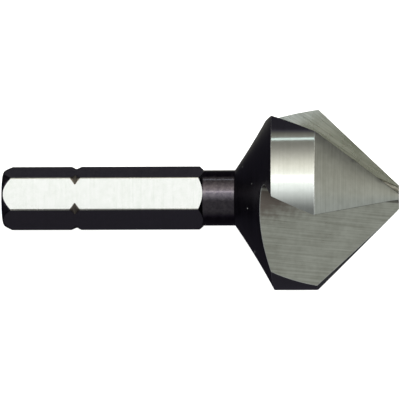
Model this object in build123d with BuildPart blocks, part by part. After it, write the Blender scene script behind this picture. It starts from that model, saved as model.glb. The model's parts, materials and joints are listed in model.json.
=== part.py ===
from build123d import *
from math import cos, radians, sin, tan
import os

# A three-flute countersink bit on a quick-change hexagonal shank, made from one piece of steel.
# It is drawn upright, with the shank end at the origin and the tip up, and then laid on the floor
# the way it comes to rest: across one flute, with a corner of the shank end on the ground.
# All sizes are in millimetres, all angles in degrees.

# Lengths along the axis
overall_length = 45.0
hex_length = 22.9
neck_length = 3.55
margin_length = 4.85

# Hexagonal shank
hex_sides = 6
hex_across_flats = 6.35
hex_corner_radius = 0.2
hex_turn = -20.0            # direction in which one flat faces, from a cutting edge
shank_end_diameter = 6.16
shank_end_dome = 0.1
shank_end_edge_radius = 0.6
shank_end_bevel = 27.5      # angle between the bevel and the axis
shoulder_bevel = 45.0

# Detent groove
groove_height = 8.45
groove_diameter = 6.62
groove_angle = 122.0
groove_bottom_radius = 0.25

# Neck and head
neck_diameter = 6.3
head_diameter = 21.2
tip_diameter = 2.8
point_angle = 90.0
back_bulge = 0.13           # how far the back of the head swells beyond a straight cone

# Teeth
tooth_count = 3
edge_lead = 0.05            # how far a cutting edge runs ahead of the plane through the axis
rake_angle = 31.0
margin_relief = 0.5         # offset of a tooth's own margin axis from the bit's axis
cone_relief = 1.4           # tilt of a tooth's own cone axis, in degrees
floor_angle = 27.7          # angle between a flute's floor and the axis
floor_turn = 1.4            # how far the floor turns away from square to the cutting edge's plane
tip_web = 0.0               # distance of a flute's floor from the middle of the tip
root_radius = 0.75
flute_middle_angle = 20.0   # direction of the middle of a flute's mouth, from its cutting edge

# Worked out from the sizes above
head_radius = head_diameter / 2
neck_radius = neck_diameter / 2
cone_slope = tan(radians(point_angle / 2))
apex_height = overall_length + tip_diameter / 2 / cone_slope
ridge_height = apex_height - head_radius / cone_slope
back_height = ridge_height - margin_length
neck_top = hex_length + neck_length
tooth_pitch = 360 / tooth_count
reach = 2 * head_diameter   # long enough to pass every surface of the head


# The shank: a hexagonal bar with turned ends and a detent groove
shank_end_radius = shank_end_diameter / 2
bar_radius = hex_across_flats / 2 / cos(radians(180 / hex_sides))
bevel_height = shank_end_dome + (bar_radius - shank_end_radius) / tan(radians(shank_end_bevel))
shoulder_height = hex_length - (bar_radius - neck_radius) / tan(radians(shoulder_bevel))

with BuildPart() as shank:
    with BuildSketch(Plane.XY) as bar:
        first_corner = hex_turn + 180 / hex_sides
        RegularPolygon(hex_across_flats / 2, hex_sides, major_radius=False, rotation=first_corner)
        fillet(bar.vertices(), hex_corner_radius)
    extrude(amount=hex_length)

    with BuildSketch(Plane.XZ) as turned_outline:
        with BuildLine():
            dome = TangentArc((0, 0), (shank_end_radius, shank_end_dome), tangent=(1, 0))
            Polyline(
                dome @ 1,
                (bar_radius, bevel_height),
                (bar_radius, shoulder_height),
                (neck_radius, hex_length),
                (0, hex_length),
                (0, 0),
            )
        make_face()
        end_edge = turned_outline.vertices().sort_by_distance((shank_end_radius, shank_end_dome))[0]
        fillet(end_edge, shank_end_edge_radius)
    revolve(axis=Axis.Z, mode=Mode.INTERSECT)

    groove_radius = groove_diameter / 2
    groove_depth = bar_radius - groove_radius
    groove_half_width = groove_depth * tan(radians(groove_angle / 2))
    with BuildSketch(Plane.XZ) as groove:
        with BuildLine():
            Polyline(
                (groove_radius, groove_height),
                (bar_radius, groove_height + groove_half_width),
                (bar_radius, groove_height - groove_half_width),
                close=True,
            )
        make_face()
        fillet(groove.vertices().sort_by(Axis.X)[0], groove_bottom_radius)
    revolve(axis=Axis.Z, mode=Mode.SUBTRACT)


# One relieved tooth before the flutes are ground. Its margin and its cone are each round an axis
# of their own, so both fall away from the true size behind the cutting edge.
edge_direction = Vector(-sin(radians(point_angle / 2)), 0, cos(radians(point_angle / 2)))
apex = Vector(0, 0, apex_height)
cone_axis = Axis(apex, (-sin(radians(cone_relief)), 0, cos(radians(cone_relief))))
margin_axis = Axis((margin_relief, 0, 0), (0, 0, 1))

with BuildPart() as tooth:
    with BuildSketch(Plane.XZ):
        with BuildLine():
            Polyline(
                (margin_relief, hex_length),
                (head_radius, hex_length),
                (head_radius, apex_height),
                (margin_relief, apex_height),
                close=True,
            )
        make_face()
    revolve(axis=margin_axis)

    cone_foot = apex - edge_direction * reach
    axis_foot = apex - cone_axis.direction * (reach * cos(radians(point_angle / 2 - cone_relief)))
    with BuildSketch(Plane.XZ):
        with BuildLine():
            Polyline(
                (apex.X, apex.Z),
                (cone_foot.X, cone_foot.Z),
                (axis_foot.X, axis_foot.Z),
                close=True,
            )
        make_face()
    revolve(axis=cone_axis, mode=Mode.INTERSECT)

    # The tooth's share of the head. Its sides lie in the flutes, clear of the cutting edges.
    with BuildSketch(Plane.XY):
        with BuildLine():
            sector_side = reach / cos(radians(tooth_pitch / 2))
            lead_side = PolarLine((0, 0), sector_side, flute_middle_angle)
            trail_side = PolarLine((0, 0), sector_side, flute_middle_angle - tooth_pitch)
            Line(lead_side @ 1, trail_side @ 1)
        make_face()
    extrude(amount=overall_length, mode=Mode.INTERSECT)


# One flute, as the grinding wheel leaves it: the wheel's rim makes the floor, its flat side makes
# the rake face under the cutting edge, and its corner makes the root between them.
edge_point = Vector(head_radius, edge_lead, ridge_height)
edge_normal = Vector(cos(radians(point_angle / 2)), 0, sin(radians(point_angle / 2)))
rake_normal = Vector(0, 1, 0) * cos(radians(rake_angle)) - edge_normal * sin(radians(rake_angle))
rake_face = Plane(origin=edge_point, x_dir=edge_direction, z_dir=rake_normal)
floor_normal = Vector(cos(radians(floor_angle)), 0, sin(radians(floor_angle))).rotate(Axis.Z, floor_turn)
floor_face = Plane(origin=(tip_web, 0, overall_length), x_dir=(0, 1, 0), z_dir=floor_normal)
root_line = Axis(floor_face.origin, floor_normal.cross(rake_normal))

with BuildPart() as flute:
    with BuildSketch(floor_face):
        Rectangle(2 * reach, 2 * reach)
    extrude(amount=reach)
    split(bisect_by=rake_face, keep=Keep.TOP)
    fillet(flute.edges().filter_by(root_line).sort_by_distance(apex)[0], root_radius)


# The head: relieved teeth, turned to the outline of the neck and the back, and three ground flutes
with BuildPart() as head:
    with PolarLocations(0, tooth_count):
        add(tooth.part)

    with BuildSketch(Plane.XZ):
        with BuildLine():
            neck_side = Line((neck_radius, hex_length), (neck_radius, neck_top))
            back = SagittaArc(neck_side @ 1, (head_radius, back_height), back_bulge)
            back_run_out = Line(back @ 1, back @ 1 + (back % 1) * margin_relief)
            Polyline(
                back_run_out @ 1,
                ((back_run_out @ 1).X, overall_length),
                (0, overall_length),
                (0, hex_length),
                neck_side @ 0,
            )
        make_face()
    revolve(axis=Axis.Z, mode=Mode.INTERSECT)

    with PolarLocations(0, tooth_count):
        add(flute.part, mode=Mode.SUBTRACT)


with BuildPart() as upright_bit:
    add(shank.part)
    add(head.part)


# At rest the head stands on the two back corners of one flute, the heel of one tooth and the end
# of the next tooth's cutting edge, and the shank stands on the lowest corner of its end.
flute_direction = Vector(1, 0, 0).rotate(Axis.Z, flute_middle_angle)
flute_axis = Axis((0, 0, 0), flute_direction)
back_corners = upright_bit.vertices().filter_by_position(
    Axis.Z, back_height - margin_relief, back_height + margin_relief
)
first_foot, second_foot = [Vector(corner) for corner in back_corners.sort_by(flute_axis)[-2:]]
end_corners = upright_bit.vertices().filter_by_position(Axis.Z, 0, bevel_height + hex_corner_radius)
shank_foot = Vector(end_corners.sort_by(flute_axis)[-1])

upward = (first_foot - shank_foot).cross(second_foot - shank_foot).normalized()
if upward.dot(flute_direction) > 0:
    upward = -upward
toward_tip = Vector(0, 0, 1) - upward * upward.Z
floor = Plane(origin=shank_foot, x_dir=toward_tip, z_dir=upward)
lying_bit = floor.to_local_coords(upright_bit.part)
lying_box = lying_bit.bounding_box()
standing_place = (-lying_box.center().X, -lying_box.center().Y, -lying_box.min.Z)

with BuildPart(Plane(origin=standing_place)) as countersink_bit:
    add(lying_bit)

countersink_bit.part.label = "countersink_bit"

os.makedirs("parts", exist_ok=True)
export_step(countersink_bit.part, "parts/countersink_bit.step")
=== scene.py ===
import json
from math import atan2, cos, pi, radians, sin, tan

import bmesh
import bpy
from mathutils import Matrix, Vector
from mathutils.geometry import intersect_point_line
from mathutils.kdtree import KDTree


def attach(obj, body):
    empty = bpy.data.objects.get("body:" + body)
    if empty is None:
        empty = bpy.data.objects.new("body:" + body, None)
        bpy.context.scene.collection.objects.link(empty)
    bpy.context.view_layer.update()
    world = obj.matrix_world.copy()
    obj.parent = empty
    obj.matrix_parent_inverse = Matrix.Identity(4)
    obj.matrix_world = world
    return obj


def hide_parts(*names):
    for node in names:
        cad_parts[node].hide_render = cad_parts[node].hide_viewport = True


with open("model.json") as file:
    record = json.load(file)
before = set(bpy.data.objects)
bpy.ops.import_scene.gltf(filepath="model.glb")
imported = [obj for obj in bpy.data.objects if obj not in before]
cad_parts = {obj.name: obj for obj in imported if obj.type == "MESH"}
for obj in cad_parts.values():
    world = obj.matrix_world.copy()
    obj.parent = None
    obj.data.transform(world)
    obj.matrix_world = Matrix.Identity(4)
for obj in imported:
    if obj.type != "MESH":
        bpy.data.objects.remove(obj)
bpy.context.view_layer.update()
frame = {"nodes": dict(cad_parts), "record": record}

mm = 0.001                            # lengths are in metres
micron = 0.001 * mm


# Where the bit lies is read from its mounts, and the rest of the script measures from the shank
# end, along the axis, and round it from the first cutting edge.
bitFrame = {
    "holderMount": "hex_shank",       # halfway along the hexagon, on the axis
    "hexLength": 22.9 * mm,
    "firstFlat": "shank_flat_1",
    "flatBeforeEdge": radians(20),    # a flat faces this far before each cutting edge
    "teeth": 3,
    "flats": 6,
}

mounts = {mount["name"]: mount for mount in frame["record"]["mounts"]}
holder = mounts[bitFrame["holderMount"]]
tipward = -Vector(holder["axis"]).normalized()
shankEnd = Vector(holder["pos_m"]) - tipward * bitFrame["hexLength"] / 2
flatSide = Vector(mounts[bitFrame["firstFlat"]]["axis"])
edgeSide = Matrix.Rotation(bitFrame["flatBeforeEdge"], 3, tipward) @ flatSide
edgeSide = (edgeSide - tipward * edgeSide.dot(tipward)).normalized()
leadSide = tipward.cross(edgeSide)
endPlace = [round(c / mm, 2) for c in shankEnd]
print("shank end at", endPlace, "mm, tip towards", [round(c, 3) for c in tipward])


def fromAxes(out, ahead, forward):
    # A direction or place from its parts towards the first cutting edge, ahead of it and tipward
    return edgeSide * out + leadSide * ahead + tipward * forward


def turnPast(angle, pitch):
    # How far an angle is past the nearest whole number of pitches
    return (angle + pitch / 2) % pitch - pitch / 2


def turnOf(vector):
    return atan2(vector.dot(leadSide), vector.dot(edgeSide))


def heightOf(spot):
    # How far along the axis a place is from the shank end
    return (spot - shankEnd).dot(tipward)


class Signal:
    # Wraps a node's output, so that shader maths is written as plain expressions
    def __init__(self, recipe, socket):
        self.recipe = recipe
        self.socket = socket

    def __add__(self, other):
        return self.recipe.maths("ADD", self, other)

    def __radd__(self, other):
        return self.recipe.maths("ADD", other, self)

    def __sub__(self, other):
        return self.recipe.maths("SUBTRACT", self, other)

    def __rsub__(self, other):
        return self.recipe.maths("SUBTRACT", other, self)

    def __mul__(self, other):
        return self.recipe.maths("MULTIPLY", self, other)

    def __rmul__(self, other):
        return self.recipe.maths("MULTIPLY", other, self)

    def step(self, low, high):
        # 0 below low, 1 above high and a smooth rise between
        settings = {"interpolation_type": "SMOOTHSTEP"}
        return self.recipe.node("ShaderNodeMapRange", settings, {0: self, 1: low, 2: high})

    def other(self, output):
        # Another output of the same node
        return Signal(self.recipe, self.socket.node.outputs[output])


class Recipe:
    # Builds the nodes of one material or of the world
    def __init__(self, tree):
        self.tree = tree
        self.tree.nodes.clear()

    def node(self, kind, settings, inputs, output=0):
        made = self.tree.nodes.new(kind)
        for name, value in settings.items():
            setattr(made, name, value)
        for name, value in inputs.items():
            if isinstance(value, Signal):
                self.tree.links.new(value.socket, made.inputs[name])
            else:
                made.inputs[name].default_value = value
        return Signal(self, made.outputs[output]) if made.outputs else None

    def maths(self, operation, first, second=0.0):
        return self.node("ShaderNodeMath", {"operation": operation}, {0: first, 1: second})

    def vector(self, operation, first, second):
        return self.node("ShaderNodeVectorMath", {"operation": operation}, {0: first, 1: second})

    def dot(self, first, second):
        return self.vector("DOT_PRODUCT", first, second).other("Value")

    def firstOf(self, vector):
        # A vector's x, or a colour's red
        return self.dot(vector, [1, 0, 0])

    def scaled(self, vector, factor):
        return self.node("ShaderNodeVectorMath", {"operation": "SCALE"}, {0: vector, "Scale": factor})

    def blend(self, factor, first, second):
        # A Mix node has its colour inputs in places 6 and 7, and its colour output in place 2
        settings = {"data_type": "RGBA"}
        return self.node("ShaderNodeMix", settings, {0: factor, 6: first, 7: second}, 2)

    def noise(self, place, scale, detail, roughness):
        inputs = {"Vector": place, "Scale": scale, "Detail": detail, "Roughness": roughness}
        return self.node("ShaderNodeTexNoise", {}, inputs)


def colour(red, green, blue):
    # An sRGB colour from 0 to 255, as the linear colour that a shader wants
    channels = [value / 255 for value in (red, green, blue)]
    return [c / 12.92 if c <= 0.04045 else ((c + 0.055) / 1.055) ** 2.4 for c in channels] + [1.0]


def newMaterial(name):
    material = bpy.data.materials.new(name)
    material.use_nodes = True
    return material, Recipe(material.node_tree)


# Every finish is bare or blackened steel, between a metal colour and a shade. Lines, mottle and
# specks are in lines, patches and chips per millimetre, a line's depth is in microns, and a speck's
# size is a share of the specks' spacing. Polish is how far the roughness wanders, and contrast is
# the lines' share of the tone.
finishes = {
    # Turned and cylindrically ground, with fine lines round the axis
    "shankFlat": {"metal": colour(202, 200, 200), "shade": colour(195, 195, 192), "rough": 0.18,
                  "lines": 5.0, "lineDepth": 2.0, "mottle": 1.3, "polish": 0.04, "contrast": 0.4},
    "shankCorner": {"metal": colour(222, 219, 212), "shade": colour(190, 187, 180), "rough": 0.26,
                    "lines": 5.0, "lineDepth": 2.0, "mottle": 0.8, "polish": 0.05, "contrast": 0.6},
    "blackOxide": {"metal": colour(60, 56, 66), "shade": colour(37, 34, 43), "rough": 0.34,
                   "lines": 3.0, "lineDepth": 4.0, "mottle": 2.2, "polish": 0.10, "contrast": 0.6,
                   "specks": 1.3, "speckSize": 0.13, "speckColour": colour(190, 190, 192)},
    "neckOxide": {"metal": colour(112, 105, 111), "shade": colour(82, 76, 85), "rough": 0.14,
                  "lines": 2.0, "lineDepth": 2.0, "mottle": 3.0, "polish": 0.16, "contrast": 0.25},
    "grooveWall": {"metal": colour(132, 124, 116), "shade": colour(90, 82, 78), "rough": 0.38,
                   "lines": 8.0, "lineDepth": 6.0, "mottle": 1.5, "polish": 0.08, "contrast": 0.6},
    "margin": {"metal": colour(214, 215, 212), "shade": colour(205, 206, 202), "rough": 0.11,
               "lines": 5.0, "lineDepth": 1.2, "mottle": 0.5, "polish": 0.03, "contrast": 0.5},
    "cone": {"metal": colour(202, 204, 198), "shade": colour(177, 179, 172), "rough": 0.32,
             "lines": 7.0, "lineDepth": 3.0, "mottle": 0.35, "polish": 0.06, "contrast": 0.5},
    "tipFlat": {"metal": colour(180, 180, 172), "shade": colour(150, 150, 142), "rough": 0.3,
                "lines": 6.0, "lineDepth": 5.0, "mottle": 0.9, "polish": 0.05, "contrast": 0.5},
    # Flutes and edges, with lines that follow the grain map over lineLength millimetres. A brown
    # painted shade on the floor beside the root runs out between rootShadeFrom and rootShadeTo
    # millimetres from the root at the height rootShadeMiddle, and by rootShadeTaper sooner for each
    # millimetre towards the tip.
    "fluteFloor": {"metal": colour(192, 192, 182), "shade": colour(156, 155, 144), "rough": 0.30,
                   "lines": 4.6, "lineLength": 9.0, "lineDepth": 6.0, "mottle": 0.4, "polish": 0.06,
                   "contrast": 0.6, "rootShade": colour(126, 116, 109),
                   "rootShadeFrom": 1.0, "rootShadeTo": 4.2, "rootShadeMiddle": 33.0, "rootShadeTaper": 0.3},
    # The root's colour is darker than the floor's: painted shade in the crease of the flute.
    "fluteRoot": {"metal": colour(152, 150, 142), "shade": colour(118, 115, 108), "rough": 0.34,
                  "lines": 5.0, "lineLength": 6.0, "lineDepth": 8.0, "mottle": 0.8, "polish": 0.06,
                  "contrast": 0.6},
    "rakeFace": {"metal": colour(250, 252, 247), "shade": colour(204, 208, 200), "rough": 0.28,
                 "lines": 3.6, "lineLength": 7.0, "lineDepth": 9.0, "mottle": 0.5, "polish": 0.06,
                 "contrast": 0.8},
    # Broken edges of bare steel, brighter than the faces beside them: partly their own bare metal, partly
    # a painted highlight line.
    "bareEdgeAndHighlight": {"metal": colour(232, 233, 230), "shade": colour(204, 204, 200), "rough": 0.26,
                   "lines": 3.0, "lineLength": 2.0, "lineDepth": 2.0, "mottle": 1.5, "polish": 0.06,
                   "contrast": 0.7},
    # A near-black metal on the cutting edges and the cone's side of the heels: a painted shade line.
    "paintedShadeEdge": {"metal": colour(46, 43, 43), "shade": colour(32, 30, 30), "rough": 0.40,
                 "lines": 3.0, "lineLength": 2.0, "lineDepth": 3.0, "mottle": 1.8, "polish": 0.08,
                 "contrast": 0.7},
}
finishOrder = list(finishes)


# What all the finishes share
texture = {
    "ringDrift": 0.12,               # how far a turned ring changes on its way round
    "lineDetail": 3.0, "lineRoughness": 0.6,
    "patchDetail": 3.0, "patchRoughness": 0.55,
    "patchShare": 0.7,               # the patches' share of the mottle, beside the finer smears
    "patchPolish": 2,                # how much more the patches change the roughness than the lines
    "smearsPerPatch": 4, "smearDetail": 2.0, "smearRoughness": 0.5,
    "toneFrom": 0.3, "toneTo": 0.7,
    "middle": 0.5,                   # noise lies round this
    "rootShadeSmears": 2.0, "rootShadeLines": 1.5,   # how far they move the painted shade's edge, in millimetres
    "chipFrom": 0.88, "chipTo": 0.90,        # the draw that a chip needs to be there
    "chipCore": 0.5,                         # the share of a chip that is quite bare
}


def lineNoise(recipe, place, grain, look):
    # Grinding lines along the grain map, or turning lines round the axis
    if "lineLength" in look:
        stretched = recipe.vector("MULTIPLY", grain, [look["lines"], 1 / look["lineLength"], 1.0])
    else:
        # Drawn out along the axis by the number of lines, so that every patch becomes a ring
        height = recipe.dot(place, tipward)
        rings = recipe.scaled(tipward, height * look["lines"])
        stretched = recipe.vector("ADD", rings, recipe.scaled(place, texture["ringDrift"]))
    return recipe.noise(stretched, 1.0, texture["lineDetail"], texture["lineRoughness"])


def addRootShade(recipe, base, place, grain, lines, smears, look):
    # A brown painted shade on the floor beside the root, under the tooth's leading edge, in uneven
    # tongues
    height = recipe.dot(place, tipward) - look["rootShadeMiddle"]
    across = recipe.firstOf(grain) + height * look["rootShadeTaper"]
    across = across + (smears - texture["middle"]) * texture["rootShadeSmears"]
    across = across + (lines - texture["middle"]) * texture["rootShadeLines"]
    return recipe.blend(across.step(look["rootShadeFrom"], look["rootShadeTo"]), look["rootShade"], base)


def chipsOf(recipe, place, look):
    # Small chips in the black, down to the bare steel
    chips = recipe.node("ShaderNodeTexVoronoi", {}, {"Vector": place, "Scale": look["specks"]})
    chosen = recipe.firstOf(chips.other("Color")).step(texture["chipFrom"], texture["chipTo"])
    return (1 - chips.step(look["speckSize"] * texture["chipCore"], look["speckSize"])) * chosen


def makeFinish(name, look):
    material, recipe = newMaterial(name)
    spot = recipe.node("ShaderNodeTexCoord", {}, {}, "Object")
    place = recipe.scaled(recipe.vector("SUBTRACT", spot, shankEnd), 1 / mm)
    grain = recipe.node("ShaderNodeUVMap", {"uv_map": "grain"}, {})
    lines = lineNoise(recipe, place, grain, look)
    patches = recipe.noise(place, look["mottle"], texture["patchDetail"], texture["patchRoughness"])
    smearScale = look["mottle"] * texture["smearsPerPatch"]
    smears = recipe.noise(place, smearScale, texture["smearDetail"], texture["smearRoughness"])
    mottle = patches * texture["patchShare"] + smears * (1 - texture["patchShare"])
    tone = lines * look["contrast"] + mottle * (1 - look["contrast"])
    base = recipe.blend(tone.step(texture["toneFrom"], texture["toneTo"]), look["shade"], look["metal"])
    wander = (patches - texture["middle"]) * texture["patchPolish"] + (lines - texture["middle"])
    roughness = look["rough"] + wander * look["polish"]
    metallic = 1.0
    # The brown painted shade beside the root, on the flute's floor
    if "rootShade" in look:
        base = addRootShade(recipe, base, place, grain, lines, smears, look)
    if "specks" in look:
        chipped = chipsOf(recipe, place, look)
        base = recipe.blend(chipped, base, look["speckColour"])
        metallic = 1 - chipped
    bump = recipe.node("ShaderNodeBump", {}, {"Distance": look["lineDepth"] * micron, "Height": lines})
    shader = recipe.node("ShaderNodeBsdfPrincipled", {}, {
        "Base Color": base, "Metallic": metallic, "Roughness": roughness, "Normal": bump})
    recipe.node("ShaderNodeOutputMaterial", {}, {"Surface": shader})
    return material


materials = [makeFinish(name, look) for name, look in finishes.items()]
print("finishes", len(materials))


bitForm = {
    "neckEnd": 26.45 * mm,
    "headRadius": 10.6 * mm,
    "ridgeHeight": 35.8 * mm,         # where the margins meet the cones
    "apexHeight": 46.4 * mm,          # where the three cones would meet
    "tipHeight": 45.0 * mm,
    "marginRadius": 9.0 * mm,         # every margin is further out than this
    "coneRelief": 0.6 * mm,           # a cone lies no further than this inside the full size
    "grooveHeight": 8.45 * mm,
    "grooveHalfWidth": 0.75 * mm,
    "pointAngle": radians(45),
    "floorTilt": radians(27.7),       # a flute's floor leans this far from the axis
    "floorTurn": radians(1.4),
    "rakeAngle": radians(31),
    "wheelRadius": 32 * mm,           # the grinding arcs on the rake faces
    "edgeBreak": 0.06 * mm,           # how far a bevel reaches from an edge of the head
    "edgeClearance": 0.12 * mm,       # stray points nearer to an edge than this are taken out
    "edgeAngle": radians(24),         # edges sharper than this are broken
    "bevelSteps": 2,
    "shadeAngle": radians(40),        # edges sharper than this stay sharp in the shading
    "thinnest": 0.1 * micron,         # faces thinner than this are taken out
    "mergeGap": micron,               # points nearer than this are one
    "mergeAngle": radians(0.3),       # faces nearer to flat than this are one
}

# How faces are told apart, most of them by the sine of their tilt towards the tip
faceMatch = {
    "hexEnd": 0.05 * mm,              # middles of the hexagon's faces are further than this from the neck
    "flat": radians(1),               # a flat faces this near to its own direction
    "turned": 0.02,                   # more than this is a bevel or the groove
    "tip": 0.99,                      # more than this is the tip
    "plane": 0.01,                    # how near a face's direction is to a ground plane's
    "margin": 0.1,                    # less than this, either way, is a margin
    "cone": 0.1,                      # this near to the cone's own tilt is the cone
    "back": -0.6,                     # less than this is the back of the head
    "leastAcross": 0.1,               # with less than this, a face looks along the axis
}


def groundPlanes():
    # The floor and the rake face of the first tooth's flute, by the way that each one faces
    tilt, point, rake = bitForm["floorTilt"], bitForm["pointAngle"], bitForm["rakeAngle"]
    floorNormal = fromAxes(cos(tilt), 0, sin(tilt))
    floorNormal.rotate(Matrix.Rotation(bitForm["floorTurn"], 3, tipward))
    coneNormal = fromAxes(cos(point), 0, sin(point))
    rakeNormal = leadSide * cos(rake) - coneNormal * sin(rake)
    return floorNormal, rakeNormal


floorNormal, rakeNormal = groundPlanes()
flatPitch = 2 * pi / bitFrame["flats"]
toothPitch = 2 * pi / bitFrame["teeth"]
toothTurns = [Matrix.Rotation(k * toothPitch, 3, tipward) for k in range(bitFrame["teeth"])]


def toothTurn(normal, planeNormal):
    # The turn that brings the first tooth's plane nearest to a face
    return max(toothTurns, key=lambda turn: (turn @ planeNormal).dot(normal))


def isPlane(face, planeNormal):
    turned = toothTurn(face.normal, planeNormal) @ planeNormal
    return (turned - face.normal).length < faceMatch["plane"]


def faceFinish(face):
    # Which finish a face gets, from where it is and the way that it faces
    middle = face.calc_center_median()
    height = heightOf(middle)
    radius = (middle - shankEnd - tipward * height).length
    forward = face.normal.dot(tipward)
    if height < bitFrame["hexLength"] - faceMatch["hexEnd"]:
        if abs(forward) > faceMatch["turned"]:
            inGroove = abs(height - bitForm["grooveHeight"]) < bitForm["grooveHalfWidth"]
            return "grooveWall" if inGroove else "blackOxide"
        fromFlat = turnPast(turnOf(face.normal) + bitFrame["flatBeforeEdge"], flatPitch)
        return "shankFlat" if abs(fromFlat) < faceMatch["flat"] else "shankCorner"
    if height < bitForm["neckEnd"]:
        return "neckOxide"
    if forward > faceMatch["tip"]:
        return "tipFlat"
    if isPlane(face, floorNormal):
        return "fluteFloor"
    if isPlane(face, rakeNormal):
        return "rakeFace"
    if abs(forward) < faceMatch["margin"] and radius > bitForm["marginRadius"]:
        return "margin"
    onCone = abs(bitForm["apexHeight"] - height - radius) < bitForm["coneRelief"]
    if onCone and abs(forward - sin(bitForm["pointAngle"])) < faceMatch["cone"]:
        return "cone"
    return "blackOxide" if forward < faceMatch["back"] else "fluteRoot"


def finishesBeside(edge):
    return {finishOrder[face.material_index] for face in edge.link_faces}


def middleOf(edge):
    return (edge.verts[0].co + edge.verts[1].co) / 2


def isCrisp(edge):
    # The ground edges of the head, except for the small tip and the sharp corners of the margins
    onHead = heightOf(middleOf(edge)) > bitForm["neckEnd"] + bitForm["edgeBreak"]
    beside = finishesBeside(edge)
    spared = "tipFlat" in beside or beside == {"rakeFace", "margin"}
    return onHead and not spared and edge.calc_face_angle(0.0) > bitForm["edgeAngle"]


def crispEdges(mesh):
    return [edge for edge in mesh.edges if isCrisp(edge)]


def isNear(spot, edge):
    start, end = edge.verts[0].co, edge.verts[1].co
    share = intersect_point_line(spot, start, end)[1]
    nearest = start.lerp(end, min(max(share, 0), 1))
    return (nearest - spot).length < bitForm["edgeClearance"]


def clearBeside(mesh, crisp):
    # Takes out stray points that lie so near an edge that its bevel would fold over them
    onEdges = {vert for edge in crisp for vert in edge.verts}
    stray = []
    for vert in mesh.verts:
        onTip = any(finishOrder[face.material_index] == "tipFlat" for face in vert.link_faces)
        loose = heightOf(vert.co) >= bitForm["neckEnd"] and not onTip and vert not in onEdges
        if loose and any(isNear(vert.co, edge) for edge in crisp):
            stray.append(vert)
    bmesh.ops.dissolve_verts(mesh, verts=stray)
    print("stray points", len(stray))


def breakEdges(mesh):
    # Takes the sharpness off the head's edges
    clearBeside(mesh, crispEdges(mesh))
    crisp = crispEdges(mesh)
    sides = [finishesBeside(edge) for edge in crisp]
    middles = KDTree(len(crisp))
    for index, edge in enumerate(crisp):
        middles.insert(middleOf(edge), index)
    middles.balance()
    made = bmesh.ops.bevel(mesh, geom=crisp, offset=bitForm["edgeBreak"], offset_type="OFFSET",
                           affect="EDGES", segments=bitForm["bevelSteps"], profile=0.5, material=-1,
                           clamp_overlap=False, loop_slide=True)
    # A broken edge gets a bright metal, partly its bare steel and partly a painted highlight line, but on
    # the cutting edges and on the cone's half of a heel a near-black metal, a painted shade line
    for face in made["faces"]:
        nearest = middles.find(face.calc_center_median())[1]
        beside = sides[nearest]
        onCone = finishOrder[face.material_index] == "cone" and beside != {"cone", "margin"}
        shadeLine = onCone or beside == {"cone", "rakeFace"}
        face.material_index = finishOrder.index("paintedShadeEdge" if shadeLine else "bareEdgeAndHighlight")
    print("broken edges", len(crisp), "with faces", len(made["faces"]))
    bmesh.ops.dissolve_degenerate(mesh, edges=mesh.edges, dist=bitForm["thinnest"])


def writeGrain(mesh):
    # Millimetres across and along the grinding lines. On a flute's floor they start at its root,
    # and on a rake face they are arcs round the middle of the wheel.
    grain = mesh.loops.layers.uv.new("grain")
    point = bitForm["pointAngle"]
    edgePoint = fromAxes(bitForm["headRadius"], 0, bitForm["ridgeHeight"])
    edgeAlong = fromAxes(-sin(point), 0, cos(point))
    inFromEdge = rakeNormal.cross(edgeAlong)
    wheelMiddle = edgePoint + inFromEdge * bitForm["wheelRadius"]
    rootPoint = tipward * bitForm["tipHeight"]
    rootAlong = floorNormal.cross(rakeNormal).normalized()
    rootAcross = floorNormal.cross(rootAlong)
    floorIndex, rakeIndex = finishOrder.index("fluteFloor"), finishOrder.index("rakeFace")
    for face in mesh.faces:
        acrossLines = tipward.cross(face.normal)
        sideways = acrossLines.length > faceMatch["leastAcross"]
        acrossLines = acrossLines.normalized() if sideways else edgeSide
        alongLines = face.normal.cross(acrossLines)
        onFloor, onRake = face.material_index == floorIndex, face.material_index == rakeIndex
        back = toothTurn(face.normal, floorNormal if onFloor else rakeNormal).transposed()
        for loop in face.loops:
            spot = loop.vert.co - shankEnd
            if onRake:
                fromWheel = back @ spot - wheelMiddle
                turn = atan2(fromWheel.dot(edgeAlong), -fromWheel.dot(inFromEdge))
                loop[grain].uv = (fromWheel.length / mm, turn * bitForm["wheelRadius"] / mm)
            elif onFloor:
                fromRoot = back @ spot - rootPoint
                loop[grain].uv = (abs(fromRoot.dot(rootAcross)) / mm, spot.dot(alongLines) / mm)
            else:
                loop[grain].uv = (spot.dot(acrossLines) / mm, spot.dot(alongLines) / mm)


def mergedCopy(source):
    # A node's loose triangles, joined into whole faces
    mesh = bmesh.new()
    mesh.from_mesh(source.data)
    mesh.transform(source.matrix_world)
    bmesh.ops.remove_doubles(mesh, verts=mesh.verts, dist=bitForm["mergeGap"])
    bmesh.ops.dissolve_limit(mesh, angle_limit=bitForm["mergeAngle"], verts=mesh.verts,
                             edges=mesh.edges, use_dissolve_boundaries=False)
    return mesh


def shadedSurface(mesh):
    for face in mesh.faces:
        face.smooth = True
    data = bpy.data.meshes.new("bitSurface")
    mesh.to_mesh(data)
    mesh.free()
    # The corner normals that came with the copy no longer fit, and they hide which edges are sharp
    staleNormals = data.attributes.get("custom_normal")
    if staleNormals:
        data.attributes.remove(staleNormals)
    for material in materials:
        data.materials.append(material)
    data.set_sharp_from_angle(angle=bitForm["shadeAngle"])
    return data


def makeBit():
    mesh = mergedCopy(frame["nodes"]["countersink_bit"])
    for face in mesh.faces:
        face.material_index = finishOrder.index(faceFinish(face))
    breakEdges(mesh)
    writeGrain(mesh)
    data = shadedSurface(mesh)
    bit = bpy.data.objects.new("bitSurface", data)
    bpy.context.scene.collection.objects.link(bit)
    weighted = bit.modifiers.new("evenShading", "WEIGHTED_NORMAL")
    weighted.keep_sharp = True
    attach(bit, "root")
    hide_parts("countersink_bit")
    given = [finishOrder[polygon.material_index] for polygon in data.polygons]
    print("bit faces", {name: given.count(name) for name in finishOrder})


makeBit()


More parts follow.
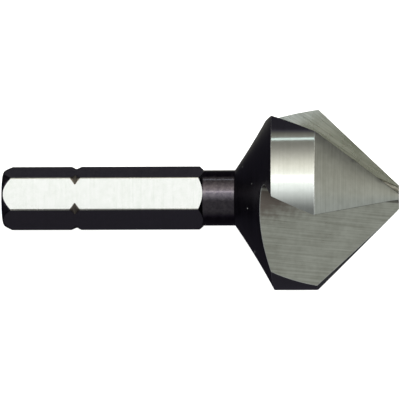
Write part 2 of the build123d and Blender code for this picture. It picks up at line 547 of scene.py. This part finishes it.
viewing = {
    "facingFlat": "shank_flat_5",
    "rolledPast": radians(9.5),      # the view is this far round the bit from that flat
    "yaw": radians(3.204),
    "roll": radians(-0.205),
    "distance": 0.7554,
    "frameWidth": 45.33 * mm,
    "target": 22.45 * mm,            # the point on the axis at the middle of the frame
    "drop": 0.235 * mm,              # how far the frame's middle is below the axis
    "sensor": 36.0,                  # its width, in the camera's own millimetres
    "nearest": 0.01, "furthest": 20.0,
}

facingFlat = Vector(mounts[viewing["facingFlat"]]["axis"])
toViewer = Matrix.Rotation(viewing["rolledPast"], 3, tipward) @ facingFlat
toViewer = (toViewer - tipward * toViewer.dot(tipward)).normalized()
upward = toViewer.cross(tipward)


def makeCamera():
    yaw, roll = viewing["yaw"], viewing["roll"]
    back = tipward * sin(yaw) + toViewer * cos(yaw)
    level = tipward * cos(yaw) - toViewer * sin(yaw)
    right = level * cos(roll) + upward * sin(roll)
    up = upward * cos(roll) - level * sin(roll)
    target = shankEnd + tipward * viewing["target"] - up * viewing["drop"]
    data = bpy.data.cameras.new("camera")
    data.sensor_width = viewing["sensor"]
    data.lens = viewing["sensor"] * viewing["distance"] / viewing["frameWidth"]
    data.clip_start = viewing["nearest"]
    data.clip_end = viewing["furthest"]
    camera = bpy.data.objects.new("camera", data)
    place = Matrix((right, up, back)).transposed().to_4x4()
    place.translation = target + back * viewing["distance"]
    camera.matrix_world = place
    bpy.context.scene.collection.objects.link(camera)
    bpy.context.scene.camera = camera


floorLook = {
    "size": 3.0,
    "colour": colour(250, 250, 249),
    "rough": 0.8,
    "glow": 1.0,
}


def makeFloor():
    mesh = bmesh.new()
    bmesh.ops.create_grid(mesh, x_segments=1, y_segments=1, size=floorLook["size"] / 2)
    data = bpy.data.meshes.new("floor")
    mesh.to_mesh(data)
    mesh.free()
    floor = bpy.data.objects.new("floor", data)
    bpy.context.scene.collection.objects.link(floor)
    material, recipe = newMaterial("paleFloor")
    shader = recipe.node("ShaderNodeBsdfPrincipled", {}, {
        "Base Color": floorLook["colour"], "Roughness": floorLook["rough"],
        "Emission Color": floorLook["colour"], "Emission Strength": floorLook["glow"]})
    recipe.node("ShaderNodeOutputMaterial", {}, {"Surface": shader})
    data.materials.append(material)
    floor.visible_glossy = False


lamp = {
    # A long thin lamp along the bit. Its angle is round the bit, from the viewer upwards.
    "angle": radians(82.4), "spread": radians(3.0), "length": 0.9, "distance": 0.6,
    "strength": 1.3, "colour": (0.80, 1.0, 0.99),
}


def makeLamp():
    outward = toViewer * cos(lamp["angle"]) + upward * sin(lamp["angle"])
    width = 2 * lamp["distance"] * tan(lamp["spread"] / 2)
    data = bpy.data.lights.new("stripLamp", "AREA")
    data.shape = "RECTANGLE"
    data.size = lamp["length"]
    data.size_y = width
    data.color = lamp["colour"]
    # The power goes with the area, so that a lamp of another size is as bright
    data.energy = lamp["strength"] * pi * lamp["length"] * width
    strip = bpy.data.objects.new("stripLamp", data)
    place = Matrix((tipward, outward.cross(tipward), outward)).transposed().to_4x4()
    place.translation = shankEnd + tipward * viewing["target"] + outward * lamp["distance"]
    strip.matrix_world = place
    bpy.context.scene.collection.objects.link(strip)


tent = {
    # A white tent round the bit, in degrees round it from the viewer upwards
    "overhead": 1.68, "riseFrom": -16, "riseTo": 30, "fallFrom": 16, "fallTo": 78,
    "shelf": 0.15, "shelfFrom": 86, "shelfTo": 102,
    "core": 1.9, "coreFrom": 20.5, "coreMiddle": 25.5, "coreTo": 31,
    "behindGlow": 0.3, "windowFrom": 140, "windowTo": 162,
    "lowGlow": 0.20, "lowFrom": -92, "lowTo": -50,
    # Towards its ends, in cosines of the angle to the axis
    "endFrom": 0.55, "endTo": 0.95, "endShare": 0.12, "windowEnd": 0.25, "windowPast": 0.5,
    "tipGlow": 0.51, "tipFrom": 0.25, "tipTo": 1.0,
    "shankGlow": 0.14, "shankFrom": 0.2, "shankTo": 0.8, "shankShare": 0.25,
    # From behind the bit to the viewer's side, in cosines of the angle to the viewer
    "behindFrom": -0.8, "behindTo": 0.1, "shankBehind": -0.4, "shankAhead": 0.7,
    # The light from everywhere, the tints by degrees and by glow, and the white that is seen
    "base": 0.024,
    "cool": (0.95, 1.0, 0.985, 1.0), "warm": (1.0, 0.985, 0.88, 1.0), "warmFrom": 12, "warmTo": 46,
    "navy": (1.0, 0.92, 1.25, 1.0), "navyFrom": 0.03, "navyTo": 0.15,
    "seen": (1.0, 1.0, 1.0, 1.0),
}


def makeTent():
    world = bpy.data.worlds.new("tent")
    bpy.context.scene.world = world
    world.use_nodes = True
    recipe = Recipe(world.node_tree)
    direction = recipe.node("ShaderNodeTexCoord", {}, {}, "Generated")
    toTip = recipe.dot(direction, tipward)
    toView = recipe.dot(direction, toViewer)
    angle = recipe.maths("DEGREES", recipe.maths("ARCTAN2", recipe.dot(direction, upward), toView))
    endward = recipe.maths("ABSOLUTE", toTip)
    fall = 1 - angle.step(tent["fallFrom"], tent["fallTo"])
    rise = angle.step(tent["riseFrom"], tent["riseTo"])
    overhead = rise * (tent["shelf"] + (1 - tent["shelf"]) * fall)
    overhead = overhead * (1 - angle.step(tent["shelfFrom"], tent["shelfTo"])) * tent["overhead"]
    core = angle.step(tent["coreFrom"], tent["coreMiddle"])
    core = core - angle.step(tent["coreMiddle"], tent["coreTo"])
    low = angle.step(tent["lowFrom"], tent["lowTo"]) * (1 - rise)
    overhead = overhead + core * tent["core"] + low * tent["lowGlow"]
    overhead = overhead * (1 - endward.step(tent["endFrom"], tent["endTo"]) * (1 - tent["endShare"]))
    tipGlow = toTip.step(tent["tipFrom"], tent["tipTo"]) * tent["tipGlow"]
    tipGlow = tipGlow * toView.step(tent["behindFrom"], tent["behindTo"])
    fromAhead = toView.step(tent["shankBehind"], tent["shankAhead"])
    shankGlow = (0 - toTip).step(tent["shankFrom"], tent["shankTo"]) * tent["shankGlow"]
    shankGlow = shankGlow * (tent["shankShare"] + (1 - tent["shankShare"]) * fromAhead)
    behind = angle.step(tent["windowFrom"], tent["windowTo"]) * tent["behindGlow"]
    behind = behind * (1 - endward.step(tent["windowEnd"], tent["windowPast"]))
    glow = tent["base"] + overhead + tipGlow + shankGlow + behind
    tint = recipe.blend(angle.step(tent["warmFrom"], tent["warmTo"]), tent["cool"], tent["warm"])
    tint = recipe.blend(glow.step(tent["navyFrom"], tent["navyTo"]), tent["navy"], tint)
    seen = recipe.node("ShaderNodeLightPath", {}, {}, "Is Camera Ray")
    shader = recipe.node("ShaderNodeBackground", {}, {
        "Color": recipe.blend(seen, tint, tent["seen"]), "Strength": seen + (1 - seen) * glow})
    recipe.node("ShaderNodeOutputWorld", {}, {"Surface": shader})


bpy.context.scene.view_settings.view_transform = "Standard"
makeCamera()
makeFloor()
makeLamp()
makeTent()
print("studio set")
